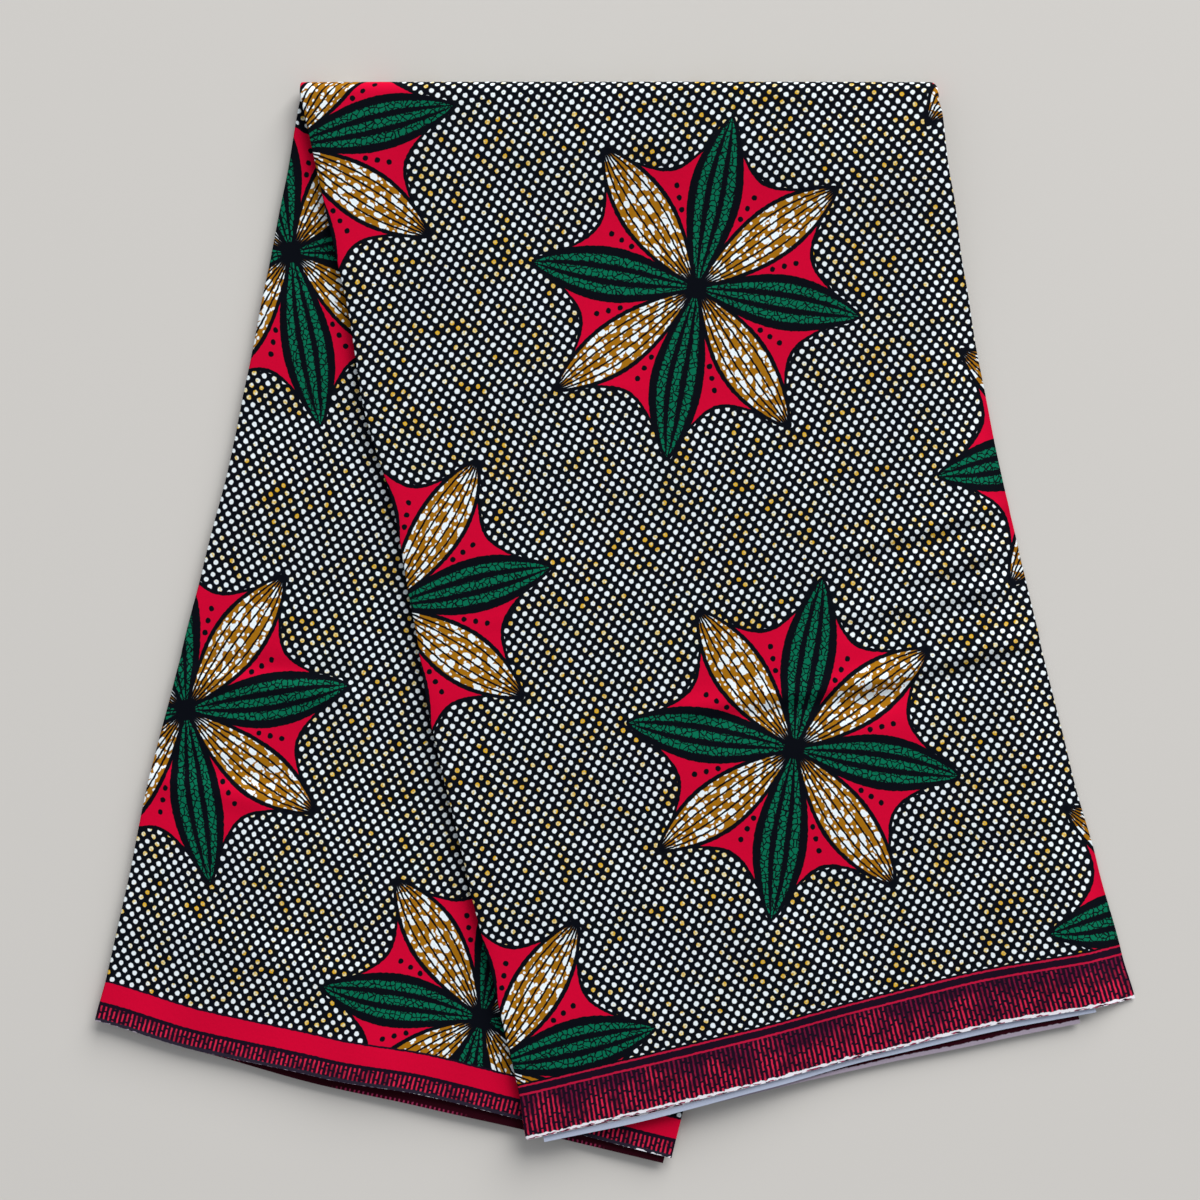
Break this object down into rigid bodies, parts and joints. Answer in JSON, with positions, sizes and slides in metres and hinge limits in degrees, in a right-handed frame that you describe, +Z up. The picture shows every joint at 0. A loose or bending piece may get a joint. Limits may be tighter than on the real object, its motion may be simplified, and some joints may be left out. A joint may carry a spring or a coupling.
{
  "type": "folded wax print cloth",
  "caption": "Length of wax print cotton folded into a strip and folded over once on a slant, lying flat as two leaves that fan apart from a rounded fold.",
  "frame": {"origin": "centre of the bounding box in plan, on the surface that the folded cloth lies on", "axes": "+Z up from the surface, +Y towards the rounded fold at the head, +X towards the side that the front leaf leans to"},
  "size_m": [0.595, 0.6178, 0.015],
  "materials": {
    "front_print": "matt wax print cotton, dots and star flowers on a dark ground",
    "back_print": "matt wax print cotton, dots and star flowers on a dark ground",
    "hem_print": "matt wax print cotton, dashed border and pale raw selvedge",
    "inner_plies": "matt cotton, the folded edges of the stack"
  },
  "bodies": {
    "root": {"front_leaf": "front_print", "back_leaf": "back_print", "front_hem_ply_2": "hem_print", "front_hem_ply_3": "hem_print", "back_hem_ply_2": "hem_print", "hidden_plies": "inner_plies"}
  },
  "joints": []
}
